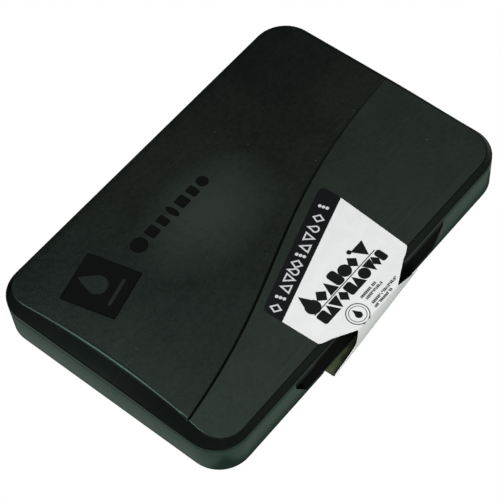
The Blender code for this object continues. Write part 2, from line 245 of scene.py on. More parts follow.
class Shader:
    """Short way to write a node material."""

    def __init__(self, name):
        self.material = bpy.data.materials.new(name)
        self.material.use_nodes = True
        self.tree = self.material.node_tree
        self.principled = self.tree.nodes["Principled BSDF"]
        self.output = self.tree.nodes["Material Output"]

    def node(self, kind, settings=None, **inputs):
        made = self.tree.nodes.new(kind)
        for key, value in (settings or {}).items():
            setattr(made, key, value)
        for key, value in inputs.items():
            self.put(made.inputs[key.replace("_", " ")], value)
        return made

    def put(self, socket, value):
        if isinstance(value, bpy.types.NodeSocket):
            self.tree.links.new(value, socket)
        else:
            socket.default_value = value

    def math(self, operation, first, second=0.0, third=0.0, clamp=False):
        made = self.node("ShaderNodeMath", {"operation": operation, "use_clamp": clamp})
        for socket, value in zip(made.inputs, (first, second, third)):
            self.put(socket, value)
        return made.outputs[0]

    def plus(self, first, second):
        return self.math("ADD", first, second)

    def minus(self, first, second):
        return self.math("SUBTRACT", first, second)

    def times(self, first, second):
        return self.math("MULTIPLY", first, second)

    def times_plus(self, first, second, third, clamp=False):
        return self.math("MULTIPLY_ADD", first, second, third, clamp)

    def vector(self, operation, first, second=(0, 0, 0)):
        made = self.node("ShaderNodeVectorMath", {"operation": operation})
        self.put(made.inputs[0], first)
        self.put(made.inputs[1], second)
        return made.outputs["Value"] if operation == "LENGTH" else made.outputs["Vector"]

    def noise(self, place, scale, detail=3.0, rough=0.5):
        return self.node("ShaderNodeTexNoise", Vector=place, Scale=scale, Detail=detail,
                         Roughness=rough).outputs["Fac"]

    def stretch(self, place, scale, turn=0.0):
        made = self.node("ShaderNodeMapping", Vector=place, Scale=scale, Rotation=(0, 0, turn))
        return made.outputs["Vector"]

    def spread(self, value, low, high, to_low=0.0, to_high=1.0):
        made = self.node("ShaderNodeMapRange", Value=value)
        made.inputs["From Min"].default_value = low
        made.inputs["From Max"].default_value = high
        made.inputs["To Min"].default_value = to_low
        made.inputs["To Max"].default_value = to_high
        return made.outputs["Result"]

    def mix(self, share, first, second):
        made = self.node("ShaderNodeMix", {"data_type": "RGBA"})
        self.put(made.inputs["Factor"], share)
        colours = [socket for socket in made.inputs if socket.type == "RGBA"]
        self.put(colours[0], first)
        self.put(colours[1], second)
        return [socket for socket in made.outputs if socket.type == "RGBA"][0]

    def bump(self, height, strength, distance, under=None):
        made = self.node("ShaderNodeBump", Strength=strength, Distance=distance, Height=height)
        if under is not None:
            self.put(made.inputs["Normal"], under)
        return made.outputs["Normal"]

    def axes(self, place):
        """X and Y of a place."""
        made = self.node("ShaderNodeSeparateXYZ", Vector=place)
        return made.outputs["X"], made.outputs["Y"]

    def place(self):
        return self.node("ShaderNodeTexCoord").outputs["Object"]

    def uv(self):
        return self.node("ShaderNodeTexCoord").outputs["UV"]

    def finish(self, **values):
        for key, value in values.items():
            self.put(self.principled.inputs[key.replace("_", " ")], value)
        return self.material


def grey(value):
    return (value, value, value, 1.0)


def fine_scratches(s, place):
    """Hair-fine marks in three directions, in patches, from 0 to 1."""
    marks = None
    for turn, seed in ((0.6, 0.0), (2.1, 0.3), (1.35, 0.7)):
        shifted = s.vector("ADD", place, (seed, 0, 0))
        line = s.noise(s.stretch(shifted, (22.0, 2600.0, 30.0), turn), 1.0, 1.0, 0.5)
        line = s.spread(line, 0.70, 0.78)
        marks = line if marks is None else s.math("MAXIMUM", marks, line)
    return s.times(marks, s.spread(s.noise(place, 45.0, 2.0), 0.48, 0.66))


def dust_specks(s, place):
    """Sparse specks of dust, a fifth of a millimetre across."""
    specks = s.node("ShaderNodeTexVoronoi", Vector=place, Scale=210.0)
    near = s.math("LESS_THAN", specks.outputs["Distance"], 0.035)
    return s.times(near, s.math("GREATER_THAN", s.noise(place, 120.0, 1.0), 0.52))


def polished_plastic(name, colour, tint, rough, bright=1.49):
    """Black plastic from a polished mould: smooth, with faint scratches, specks and slight orange peel."""
    s = Shader(name)
    place = s.place()
    marks = fine_scratches(s, place)
    cloud = s.noise(place, 60.0, 3.0, 0.55)
    roughness = s.times_plus(marks, 0.12, s.spread(cloud, 0.3, 0.7, rough - 0.04, rough + 0.05))
    light = tuple(part * 2.5 for part in colour)
    shade = s.mix(s.times(marks, 0.2), (*colour, 1), (*light, 1))
    shade = s.mix(dust_specks(s, place), shade, grey(0.06))
    peel = s.bump(s.noise(place, 330.0, 2.0), 0.05, 0.0003)
    return s.finish(Base_Color=shade, Roughness=roughness, Normal=s.bump(marks, 0.1, 0.00004, peel),
                    IOR=bright, Specular_Tint=(*tint, 1))


def groove_painted_shade(name):
    """Plastic in the groove, coloured as painted shade: deep black at its left end, lighter towards its
    right end.
    """
    s = Shader(name)
    place = s.place()
    along, _ = s.axes(place)
    uneven = s.spread(s.noise(place, 300.0), 0.3, 0.7, -0.1, 0.1)
    # Painted shade: the groove is coloured near black, lightening from its left end to its right end, with
    # random unevenness.
    shade_fade = s.plus(s.spread(along, 0.005, 0.062, 0.0, 0.9), uneven)
    shade = s.mix(shade_fade, (0.0018, 0.0022, 0.0020, 1), (0.0150, 0.0180, 0.0165, 1))
    return s.finish(Base_Color=shade, Roughness=0.38, IOR=1.2)


def top_haze_and_painted_sheen(s, place):
    """Lightening of the lid's top, which also roughens it: below the swoosh, in random clouds, and as
    painted reflection of the overhead light towards the front, towards the left and in one patch.
    """
    middle = s.vector("SUBTRACT", place, (0, MIDDLE.y * MM, 0))
    x, y = s.axes(s.vector("MULTIPLY", middle, (1 / MM, 1 / MM, 1 / MM)))
    bend = s.math("TANH", s.times(s.plus(x, -SWOOSH_X), 1 / SWOOSH_RUN))
    line = s.times_plus(bend, SWOOSH_RISE, SWOOSH_Y)
    front = s.spread(s.minus(line, y), -0.3, 0.3)
    patch = s.vector("SUBTRACT", middle, (-0.007, 0.010, 0.015))
    patch = s.vector("LENGTH", s.vector("MULTIPLY", patch, (1.0, 1.5, 0.0)))
    cloud = s.spread(s.noise(place, 38.0, 4.0, 0.6), 0.34, 0.66, -0.5, 0.5)
    haze_and_painted_sheen = 0.03
    # The rise towards the front, the rise towards the left and the patch are painted reflection of the
    # overhead light; the swoosh term and the clouds lighten the tone below the swoosh and at random.
    for part, share in ((front, 0.34), (s.spread(y, 38.0, -38.0), 0.24), (s.spread(x, 58.0, -58.0), 0.16),
                        (s.spread(patch, 0.026, 0.004), 0.85), (cloud, 0.24)):
        haze_and_painted_sheen = s.times_plus(part, share, haze_and_painted_sheen)
    return haze_and_painted_sheen


def textured_top(name, dark, light, tint):
    """Spark-textured black plastic of the lid's top: a hazy grain, lighter below the swoosh and in clouds,
    with painted reflection lightening it towards the front, the left and one patch.
    """
    s = Shader(name)
    place = s.place()
    spark = s.noise(place, 1500.0, 3.0, 0.7)
    grain = s.spread(spark, 0.3, 0.7, -0.5, 0.5)
    coarse = s.spread(s.noise(place, 620.0, 2.0, 0.6), 0.3, 0.7, -0.5, 0.5)
    haze_and_painted_sheen = s.times_plus(coarse, 0.14, top_haze_and_painted_sheen(s, place))
    haze_and_painted_sheen = s.times_plus(grain, 0.16, haze_and_painted_sheen, clamp=True)
    # Colour from dark to light by the haze, which carries the painted reflection.
    shade = s.mix(haze_and_painted_sheen, (*dark, 1), (*light, 1))
    shade = s.mix(s.times(fine_scratches(s, place), 0.25), shade, (0.05, 0.058, 0.054, 1))
    shade = s.mix(dust_specks(s, place), shade, grey(0.075))
    rough = s.times_plus(grain, 0.05, s.times_plus(haze_and_painted_sheen, 0.14, 0.24))
    normal = s.bump(spark, 0.35, 0.00003, s.bump(coarse, 0.12, 0.00008))
    return s.finish(Base_Color=shade, Roughness=rough, Normal=normal, IOR=1.49, Specular_IOR_Level=0.5,
                    Specular_Tint=(*tint, 1))


# ---------------------------------------------------------------- lid

def swoosh(x):
    """The S-curve that parts the lid's front field from its back field."""
    return SWOOSH_Y + SWOOSH_RISE * math.tanh((x - SWOOSH_X) / SWOOSH_RUN)


def crown(x, y):
    return CROWN_ALONG * (1 - (x / CASE_X) ** 2) + CROWN_ACROSS * (1 - (y / CASE_Y) ** 2)


def top_z(x, y):
    return EDGE_Z + crown(x, y)


def groove_dip(off):
    """Depth of the groove at a distance along Y from the swoosh."""
    return max(0.0, 1 - (off / GROOVE_HALF) ** 2) ** 1.3 * GROOVE_DEEP


CORNER_STEPS, LONG_STEPS = 12, 72
FRONT_ROWS, GROOVE_ROWS, BACK_ROWS = 14, 10, 26


def field(half_x, half_y, radius, bow, height, groove):
    """Grid over a round-cornered field whose rows follow the swoosh.

    Returns the rows of points and, in the same order as the edge of the grid, its Rim points.
    """
    straight_x, straight_y = half_x - radius, half_y - radius
    turns = [math.pi / 2 * k / CORNER_STEPS for k in range(CORNER_STEPS + 1)]
    columns = [(-1.0, turn) for turn in reversed(turns)]
    columns += [(-1.0 + 2.0 * k / LONG_STEPS, 0.0) for k in range(1, LONG_STEPS)]
    columns += [(1.0, turn) for turn in turns]
    grid = []
    for along, turn in columns:
        x = along * straight_x + math.copysign(radius * math.sin(turn), along) * (turn > 0)
        reach = straight_y + radius * math.cos(turn)
        middle = swoosh(x) * half_y / TOP_Y
        steps = [-reach + (middle - GROOVE_HALF + reach) * k / FRONT_ROWS for k in range(FRONT_ROWS)]
        steps += [middle + GROOVE_HALF * (2 * k / GROOVE_ROWS - 1) for k in range(GROOVE_ROWS)]
        start = middle + GROOVE_HALF
        steps += [start + (reach - start) * k / BACK_ROWS for k in range(BACK_ROWS + 1)]
        column = []
        for y in steps:
            dip = groove_dip(y - middle) if groove else 0.0
            column.append((bowed(x, half_x, y, half_y, bow), y, height(x, y) - dip))
        grid.append(column)
    front = [Rim(a, -1, math.copysign(math.sin(t), a) * (t > 0), -math.cos(t)) for a, t in columns]
    back = [Rim(a, 1, math.copysign(math.sin(t), a) * (t > 0), math.cos(t)) for a, t in columns]
    right = [Rim(1, point[1] / straight_y, 1, 0) for point in grid[-1]]
    left = [Rim(-1, point[1] / straight_y, -1, 0) for point in grid[0]]
    edge = front[:-1] + right[:-1] + back[:0:-1] + left[:0:-1]
    return grid, edge


def grid_edge(grid):
    """Indices (column, row) round a grid, in the order that field() gives its Rim points."""
    columns, rows = len(grid), len(grid[0])
    around = [(c, 0) for c in range(columns - 1)] + [(columns - 1, r) for r in range(rows - 1)]
    around += [(c, rows - 1) for c in range(columns - 1, 0, -1)] + [(0, r) for r in range(rows - 1, 0, -1)]
    return around


def add_grid(bm, grid, index, groove_index):
    """Faces of a grid; the rows along the groove have a material of their own."""
    verts = [[bm.verts.new(metres(point)) for point in column] for column in grid]
    for c in range(len(verts) - 1):
        for r in range(len(verts[0]) - 1):
            face = bm.faces.new((verts[c][r], verts[c + 1][r], verts[c + 1][r + 1], verts[c][r + 1]))
            in_groove = FRONT_ROWS < r < FRONT_ROWS + GROOVE_ROWS - 1
            face.material_index = groove_index if in_groove else index
    return [verts[c][r] for c, r in grid_edge(grid)]


def add_bands(bm, start, rings, end, index=0):
    """Bands of faces from the loop of verts start, through rings of points, to the loop end."""
    loops = [start] + [[bm.verts.new(metres(point)) for point in points] for points in rings] + [end]
    count = len(start)
    for low, high in zip(loops, loops[1:]):
        for i in range(count):
            j = (i + 1) % count
            bm.faces.new((low[i], low[j], high[j], high[i])).material_index = index


# Side of the lid from its top down to its rim: share of the way out from the top's outline to the
# case's outline, drop below EDGE_Z at the front, and how much of the crown is left.
LID_SIDE = (
    (0.05, 0.025, 1.0), (0.115, 0.085, 1.0), (0.175, 0.19, 0.97), (0.23, 0.32, 0.92),
    (0.30, 0.52, 0.85), (0.45, 0.93, 0.65), (0.62, 1.38, 0.42), (0.78, 1.80, 0.22),
    (0.90, 2.08, 0.08), (0.965, 2.25, 0.03), (0.995, 2.40, 0.0), (1.0, 2.55, 0.0))


def chamfer_share(y):
    """The chamfer round the top is shallower towards the back: its share of the full drop."""
    t = max(0.0, min(1.0, -y / 30.0))
    return 0.68 + 0.32 * t * t * (3 - 2 * t)


def lid_side(edge, share, front_drop, crowned):
    """One ring of points down the lid's side, at a station of LID_SIDE."""
    size = [a + (b - a) * share for a, b in zip((TOP_X, TOP_Y, TOP_CORNER), (CASE_X, CASE_Y, CORNER))]
    fade = max(0.0, 1 - share / 0.3)
    made = []
    for point in edge:
        x, y = point.at(*size, TOP_BOW * (1 - share))
        dip = groove_dip(y - swoosh(x)) * fade if point.out_y == 0 else 0.0
        drop = front_drop * chamfer_share(y)
        made.append((x, y, EDGE_Z - drop + crowned * crown(x, y) - dip))
    return made


def lid_rim(edge, rim):
    """Rings round the lid's rim: the softened outer edge, the flat seam and the step inside."""
    rings = [ring(edge, CASE_X - inset, CASE_Y - inset, CORNER - inset, rim + up)
             for inset, up in ((0.0, 0.14), (0.04, 0.05), (0.12, 0.0))]
    inside = CASE_X - WALL, CASE_Y - WALL, CORNER - WALL
    rings += [ring(edge, *inside, rim + up) for up in (0.0, 0.6)]
    return rings + [ring(edge, inside[0] - 0.5, inside[1] - 0.2, inside[2], rim + 1.1)]


def painted(tools, material):
    """The tools, with a material that a Boolean carries over to the faces they make."""
    for tool in tools:
        tool.data.materials.append(material)
    return tools


def lid_shell(texture, polish, shaded, groove_shade):
    rim = SEAM_Z + 0.06
    outer, edge = field(TOP_X, TOP_Y, TOP_CORNER, TOP_BOW, top_z, True)
    inner, _ = field(TOP_X - LID_WALL, TOP_Y - 1.0, TOP_CORNER - 1.0, TOP_BOW,
                     lambda x, y: top_z(x, y) - LID_WALL, False)
    bm = bmesh.new()
    top_edge = add_grid(bm, outer, 0, 2)
    under_edge = add_grid(bm, inner, 1, 1)
    rings = [lid_side(edge, *station) for station in LID_SIDE] + lid_rim(edge, rim)
    add_bands(bm, top_edge, rings, under_edge, 1)
    body = mesh_object("lid", bm, [texture, polish, groove_shade, shaded])
    ears = [piece for side in (-1, 1) for piece in hinge_ear(side * EAR_X)]
    combine(body, painted([lid_lip(rim)], shaded) + painted([seal_rib()] + ears, polish), "UNION")
    combine(body, painted([panel_cutter()] + word_cutters(), shaded), "DIFFERENCE")
    combine(body, painted(panel_mark(), texture), "UNION")
    settle(body, 30, "lid", "lid_shell")


def lid_lip(rim):
    """The lip that a finger lifts, with a rounded lower edge."""
    r = 0.35
    corners = [(-CASE_Y, rim + 0.5), (-CASE_Y, LIP_BOTTOM + r), (-CASE_Y + 0.1, LIP_BOTTOM + 0.1),
               (-CASE_Y + r, LIP_BOTTOM), (-CASE_Y + LIP_THICK - r, LIP_BOTTOM),
               (-CASE_Y + LIP_THICK, LIP_BOTTOM + r), (-CASE_Y + LIP_THICK, rim + 0.5)]
    return prism("lip", corners, 0.25 - RECESS_X, RECESS_X - 0.25)


def seal_rib():
    """Rib that shuts down round the pad, bevelled along its foot."""
    points = rims()
    foot, top = deck_high.z + 0.4, EDGE_Z - 0.9
    stations = ((RIB_INNER_FOOT, foot), (RIB_OUTER_FOOT, foot), (RIB_OUTER, foot + 0.2), (RIB_OUTER, top),
                (RIB_INNER, top), (RIB_INNER, foot + 0.2))
    return loft("seal_rib", [ring(points, *size, z) for size, z in stations], closed=True)


def hinge_ear(x):
    y, z = HINGE[1], HINGE[2]
    web = [(y - 1.5, z), (y + 1.5, z), (y + 1.28, z + 0.8), (y + 0.9, z + 1.5), (y + 0.3, z + 2.6),
           (y - 0.1, z + 3.3), (y - 0.4, z + 3.9), (y - 1.5, z + 3.9)]
    reach = EAR_HALF + PEG_LONG
    return [prism("web", web, x - EAR_HALF, x + EAR_HALF),
            rod("barrel", x - EAR_HALF, x + EAR_HALF, y, z, BARREL_R, round_off=0.25),
            rod("pegs", x - reach, x + reach, y, z, PEG_R, 24, round_off=0.2)]


def on_panel(x, y):
    """Point of the lid's top whose place is given from the middle of the sunk panel, along its sides."""
    turn = math.radians(PANEL_TURN)
    return (PANEL_MIDDLE[0] + x * math.cos(turn) - y * math.sin(turn),
            PANEL_MIDDLE[1] + x * math.sin(turn) + y * math.cos(turn))


def sunk_cutter(name, outline, deep, flare):
    """Cutter for a sunk shape: its outline in plan, its depth and the width of its chamfered lip."""
    middle = middle_of(outline)
    rings = []
    for grow, drop in ((-0.06, -deep), (0.0, -0.14), (flare, 0.03), (flare, 1.5)):
        points = []
        for point in outline:
            away = Vector(point) - middle
            x, y = Vector(point) + away.normalized() * grow
            points.append((x, y, top_z(x, y) + drop))
        rings.append(points)
    return loft(name, rings)


def panel_cutter():
    outline = [on_panel(*point) for point in rounded(PANEL_SIZE[0] / 2, PANEL_SIZE[1] / 2, 0.3)]
    return sunk_cutter("panel", outline, PANEL_DEEP, 0.16)


def drop_outline(radius, steps=40):
    """Plan of an ink drop: a round belly drawn out to a point on top."""
    points = []
    for k in range(steps):
        turn = math.radians(-90 + 360 * k / steps)
        pull = max(0.0, math.sin(turn)) ** 3
        points.append((radius * math.cos(turn) * (1 - 0.55 * pull), radius * (math.sin(turn) + 0.95 * pull)))
    return points


def raised(name, outline, floor, height):
    """Shape that stands on the floor of the panel, with its top edge slightly drawn in."""
    middle = middle_of(outline)
    drawn_in = [(*(Vector(point) * 0.985 + middle * 0.015),) for point in outline]
    return loft(name, [[(x, y, top_z(x, y) + floor - 0.2) for x, y in outline],
                       [(x, y, top_z(x, y) + floor + height - 0.06) for x, y in outline],
                       [(*moved, top_z(x, y) + floor + height) for moved, (x, y) in zip(drawn_in, outline)]])


def panel_mark():
    """Generic mark raised in the sunk panel: an ink drop over a short bar."""
    drop = [on_panel(x, y + 1.2) for x, y in drop_outline(3.1)]
    bar = [on_panel(x, y) for x, y in ((-4.6, -5.4), (4.6, -5.4), (4.6, -4.3), (-4.6, -4.3))]
    return [raised("drop", drop, -PANEL_DEEP, 0.28), raised("bar", bar, -PANEL_DEEP, 0.28)]


# Row of plain sunk shapes to the right of the panel: middle along X, half width, half height.
WORD_MARKS = ((-26.2, 2.5, 2.5), (-20.6, 1.7, 1.8), (-16.2, 1.3, 1.8), (-12.2, 1.0, 2.4),
              (-8.0, 1.7, 1.8), (-3.6, 1.3, 1.8), (0.6, 1.7, 1.8))


def word_cutters():
    cutters = []
    for index, (x, half_w, half_h) in enumerate(WORD_MARKS):
        if index % 3 == 0:
            turns = [2 * math.pi * k / 28 for k in range(28)]
            outline = [(half_w * math.cos(turn), half_h * math.sin(turn)) for turn in turns]
        else:
            outline = rounded(half_w, half_h, 0.5)
        placed = [(x + along, WORD_Y + across) for along, across in outline]
        cutters.append(sunk_cutter("mark", placed, WORD_DEEP, 0.1))
    return cutters


# ---------------------------------------------------------------- base

def base_tray(finish, shaded):
    points = rims()
    top = SEAM_Z - 0.06

    def inset_ring(inset, z):
        return ring(points, CASE_X - inset, CASE_Y - inset, CORNER - inset, z)

    under = [(3.0, 0.8), (2.9, 0.1), (2.75, 0.0), (0.75, 0.0), (0.45, 0.06), (0.28, 0.22), (0.2, 0.5)]
    seam = [(0.0, top - 0.5), (0.01, top - 0.26), (0.05, top - 0.12), (0.13, top - 0.03), (0.26, top)]
    inside = [(WALL, top), (WALL, FLOOR_Z)]
    body = loft("base", [inset_ring(*station) for station in under + seam + inside], [finish, shaded])
    added = [box("recess_wall", -RECESS_WALL_X, RECESS_WALL_X, RECESS_BACK - 2.5, RECESS_BACK + 1.1,
                 RECESS_WALL_LOW, RECESS_WALL_HIGH)]
    for side in (-1, 1):
        for inner in (-1, 1):
            near = side * EAR_X + inner * (EAR_HALF + SIDE_PLAY)
            far = near + inner * KNUCKLE_W
            added += hinge_knuckle(min(near, far), max(near, far))
    combine(body, painted(added, finish), "UNION")
    cutters = [label_pocket()] + hinge_cutters()
    combine(body, painted([recess_cutter()], shaded) + painted(cutters, finish), "DIFFERENCE")
    settle(body, 30, "base", "base_tray")


def hinge_knuckle(x0, x1):
    y, z = HINGE[1], HINGE[2]
    web = [(y - 1.0, z - 2.6), (y - 0.2, z - 2.6), (y + 0.5, z - 1.75), (y + 1.1, z - 1.0),
           (y + 1.1, z + 1.0), (y - 1.0, z + 1.4)]
    return [prism("web", web, x0, x1), rod("barrel", x0, x1, y, z, BARREL_R, round_off=0.2)]


def recess_cutter():
    """Scoop whose ends slope in towards the foot and whose back corners are rounded."""
    outline = [(-RECESS_FOOT_X, RECESS_BOTTOM + 0.5), (-RECESS_FOOT_X + 0.5, RECESS_BOTTOM),
               (RECESS_FOOT_X - 0.5, RECESS_BOTTOM), (RECESS_FOOT_X, RECESS_BOTTOM + 0.5),
               (RECESS_X, RECESS_TOP), (RECESS_X, SEAM_Z + 1), (-RECESS_X, SEAM_Z + 1),
               (-RECESS_X, RECESS_TOP)]
    rings = []
    for y, shrink in ((-CASE_Y - 1, 0.0), (-CASE_Y + 0.15, 0.0), (RECESS_BACK - 0.9, 0.25),
                      (RECESS_BACK - 0.3, 0.6), (RECESS_BACK, 1.2)):
        rings.append([(x - math.copysign(shrink, x), y, max(z, RECESS_BOTTOM + shrink * 0.6) if z < 6 else z)
                      for x, z in outline])
    return loft("recess", rings)


def label_pocket():
    """Shallow pocket under the base that the label's tail lies in."""
    low, high = low_high("label_base_part")
    return box("label_pocket", low.x - 0.7, high.x + 0.7, -CASE_Y - 1, high.y + 0.7, -1.0, 0.75)


def hinge_cutters():
    """Notches for the lid's ears and sockets for its pegs."""
    cutters = []
    for side in (-1, 1):
        x, room = side * EAR_X, EAR_HALF + SIDE_PLAY
        cutters.append(box("ear_notch", x - room, x + room, CASE_Y - 2, CASE_Y + 2, NOTCH_FLOOR, SEAM_Z + 1))
        reach = room + PEG_LONG
        cutters.append(rod("socket", x - reach, x + reach, HINGE[1], HINGE[2], PEG_R + 0.2, 24))
    return cutters


# ---------------------------------------------------------------- pad

def pad_frame(finish):
    points = rims()
    hole = cloth_high.x + 0.3, cloth_high.y + 0.3, 2.8
    edge_x, edge_y, top = deck_high.x, deck_high.y, deck_high.z
    under = top - 0.8

    def from_hole(out, z):
        return ring(points, hole[0] + out, hole[1] + out, hole[2] + out, z)

    def from_edge(inset, z):
        return ring(points, edge_x - inset, edge_y - inset, CORNER - WALL - 0.4 - inset, z)

    body = loft("deck", [
        from_hole(0.0, deck_low.z), from_hole(1.0, deck_low.z), from_hole(1.0, under),
        from_edge(0.0, under), from_edge(0.0, top - 0.35), from_edge(0.1, top - 0.1), from_edge(0.35, top),
        from_hole(1.3, top), from_hole(0.85, top - 0.05), from_hole(0.45, top - 0.2),
        from_hole(0.15, top - 0.45), from_hole(0.0, top - 0.8)], [finish], closed=True)
    settle(body, 40, "base", "pad_frame")


def felt_block(name, low, high, rounding, fuzz, finish, seed, node):
    """Felt cut to a round-cornered slab, with softly rounded, slightly ragged edges."""
    points = rims(8, 60, 40)
    height = high.z - low.z
    profile = [(rounding, 0.0), (rounding * 0.3, rounding * 0.3), (0.0, rounding)]
    levels = [(high.x * 0.5, 0.0), (rounding * 3, 0.0)] + profile
    levels += [(0.0, z) for z in (height * k / 5 for k in range(1, 5)) if rounding < z < height - rounding]
    levels += [(inset, height - z) for inset, z in reversed(profile)]
    levels += [(rounding * 3, height), (high.x * 0.5, height)]
    rings = []
    for inset, z in levels:
        inset = min(inset, high.y * 0.9)
        made = []
        for x, y, _ in ring(points, high.x - inset, high.y - inset, max(1.7 - inset, 0.2), 0):
            ragged = noise.noise(Vector((x * 1.7, y * 1.7, z * 3 + seed))) * fuzz
            shrink = 1 - (0.5 + ragged) * fuzz / high.y
            made.append((x * shrink, y * shrink, low.z + z))
        rings.append(made)
    body = loft(name, rings, [finish])
    settle(body, 50, "base", node)


def pad_cloth(finish):
    """Cotton drawn over the felt and down its sides, with a soft edge and a faint unevenness."""
    points = rims(10, 90, 60)
    half_x, half_y, top, foot = cloth_high.x, cloth_high.y, cloth_high.z, cloth_low.z
    thick = 0.45

    def uneven(points_in, level):
        return [(x, y, level(x, y)) for x, y, _ in points_in]

    def relief(x, y):
        wide = noise.noise(Vector((x * 0.06, y * 0.06, 3.0)))
        fine = noise.noise(Vector((x * 0.4, y * 0.4, 9.0)))
        return 0.10 * wide + 0.03 * fine

    def over(inset, drop):
        radius = max(2.5 - inset, 0.3)
        return uneven(ring(points, half_x - inset, half_y - inset, radius, 0),
                      lambda x, y: top - 0.14 - drop + relief(x, y))

    outer = [over(half_y * k, 0.0) for k in (0.97, 0.85, 0.7, 0.55, 0.4, 0.28, 0.17, 0.09)]
    outer += [over(1.4, 0.02), over(0.9, 0.10), over(0.5, 0.25), over(0.2, 0.5), over(0.05, 0.85)]
    outer.append(ring(points, half_x, half_y, 2.5, foot + 3))
    outer.append(ring(points, half_x, half_y, 2.5, foot))
    inner = [ring(points, half_x - thick, half_y - thick, 2.1, foot),
             ring(points, half_x - thick, half_y - thick, 2.1, top - 1.2)]
    inner += [uneven(ring(points, half_x - inset, half_y - inset, max(2.5 - inset, 0.3), 0),
                     lambda x, y: top - 0.14 - thick + relief(x, y) - 0.02)
              for inset in (1.2, half_y * 0.28, half_y * 0.6, half_y * 0.95)]
    body = loft("cloth", outer + inner, [finish])
    settle(body, 60, "base", "pad_cloth")


def backing_board(finish):
    points = rims(6, 40, 26)
    half_x, half_y = board_high.x, board_high.y
    rings = [ring(points, half_x - inset, half_y - inset, 1.7 - inset, z)
             for inset, z in ((0.12, board_low.z), (0.0, board_low.z + 0.15),
                              (0.0, board_high.z - 0.15), (0.12, board_high.z))]
    body = loft("chipboard", rings, [finish])
    settle(body, 30, "base", "backing_board")


# ---------------------------------------------------------------- label

LABEL_THICK = 0.12
LABEL_OFF = 0.05                # how far the label stands off what it is stuck to

WAIST_LEFT, WAIST_RIGHT, WAIST_Y, WAIST_Z = -11.4, 6.0, -45.2, 14.5
FOLD_Y = -40.2                  # where the label's sides start to run in to the waist
TOP_LEFT, TOP_RIGHT = -22.25, 19.2
TOP_EDGE_Y, TOP_EDGE_SLOPE = -21.6, 0.308   # upper edge: its left end, and its slant along the swoosh
TAPER_Y, TAPER_LEFT, TAPER_RIGHT = -16.0, 1.2, 1.6   # where the sides start to taper, and by how much
# Edges of the label's front between the waist and the bend at the table: height, left x, right x
FRONT_EDGES = ((14.47, -11.4, 6.0), (13.2, -11.35, 8.2), (11.6, -11.4, 10.9), (9.9, -11.4, 13.4),
               (7.8, -11.4, 16.0), (5.8, -11.6, 18.0), (4.6, -12.6, 18.6), (3.7, -14.1, 18.8),
               (3.0, -16.6, 18.8), (2.3, -19.2, 18.8), (1.6, -20.2, 18.8))
HEEL_LEFT, HEEL_RIGHT = (-20.3, -44.0), (18.7, -41.5)
UNDER_Z, END_Y = 0.46, -28.0


def sheet_piece(name, rows, materials):
    """Thin sheet through rows of (x, y, z, path): points of its inner face and their place along the label.

    The sheet gets a UV map in label coordinates, tenths of a metre along X and along the path. Its outer
    face uses the first material and its inner face and edges the second.
    """
    bm = bmesh.new()
    uv = bm.loops.layers.uv.new("label")
    count, length = len(rows[0]), len(rows)
    inner, outer = [], []
    for r in range(length):
        inner.append([])
        outer.append([])
        for c in range(count):
            here = Vector(rows[r][c][:3])
            down = Vector(rows[min(r + 1, length - 1)][c][:3]) - Vector(rows[max(r - 1, 0)][c][:3])
            across = Vector(rows[r][min(c + 1, count - 1)][:3]) - Vector(rows[r][max(c - 1, 0)][:3])
            out = down.cross(across).normalized()
            inner[-1].append(bm.verts.new(metres(here)))
            outer[-1].append(bm.verts.new(metres(here + out * LABEL_THICK)))
    place = {}
    for r in range(length):
        for c in range(count):
            spot = (rows[r][c][0] / 100 + 0.5, rows[r][c][3] / 100 + 0.5)
            place[inner[r][c]] = place[outer[r][c]] = spot

    def face(verts, index):
        made = bm.faces.new(verts)
        made.material_index = index
        for loop in made.loops:
            loop[uv].uv = place[loop.vert]

    for r in range(length - 1):
        for c in range(count - 1):
            face((outer[r][c], outer[r + 1][c], outer[r + 1][c + 1], outer[r][c + 1]), 0)
            face((inner[r][c], inner[r][c + 1], inner[r + 1][c + 1], inner[r + 1][c]), 1)
    around = [(0, c) for c in range(count)]
    around += [(r, count - 1) for r in range(1, length)]
    around += [(length - 1, c) for c in range(count - 2, -1, -1)]
    around += [(r, 0) for r in range(length - 2, 0, -1)]
    for (r0, c0), (r1, c1) in zip(around, around[1:] + around[:1]):
        face((inner[r0][c0], outer[r0][c0], outer[r1][c1], inner[r1][c1]), 0)
    return mesh_object(name, bm, materials)


def eased(k, count):
    """Shares from 0 to 1 that crowd towards both ends, where the corners are rounded."""
    return 0.5 - 0.5 * math.cos(math.pi * k / count)


def top_edge_y(share):
    """The label's upper edge on the lid, slanted along the swoosh, with its two corners rounded."""
    x = TOP_LEFT + (TOP_RIGHT - TOP_LEFT) * share
    y = TOP_EDGE_Y + TOP_EDGE_SLOPE * (x - TOP_LEFT)
    for corner, radius in ((TOP_LEFT, 1.3), (TOP_RIGHT, 2.3)):
        near = abs(x - corner)
        if near < radius:
            y -= radius - math.sqrt(radius ** 2 - (radius - near) ** 2)
    return y


def side_x(y):
    """Left and right edge of the label's upper part at a depth: slightly tapered, then in to the waist."""
    down = max(0.0, min(1.0, (y - TAPER_Y) / (FOLD_Y - TAPER_Y)))
    left, right = TOP_LEFT + TAPER_LEFT * down, TOP_RIGHT - TAPER_RIGHT * down
    turn_in = 0.8
    into = (FOLD_Y + turn_in - y) / (FOLD_Y + turn_in - WAIST_Y)
    if into > 0:
        bend = min(1.0, into * 3) ** 0.6
        left += (WAIST_LEFT - left) * into * bend
        right += (WAIST_RIGHT - right) * into * bend
    return left, right


def lid_label_z(x, y):
    """Height of the label's inner face: on the lid's top, then on and down a little to the waist."""
    edge = 1.2 - TOP_Y
    if y > edge:
        return top_z(x, y) + LABEL_OFF
    share = (edge - y) / (edge - WAIST_Y)
    start = top_z(x, edge) + LABEL_OFF
    return start + (WAIST_Z - start) * (0.35 * share + 0.65 * share * share)


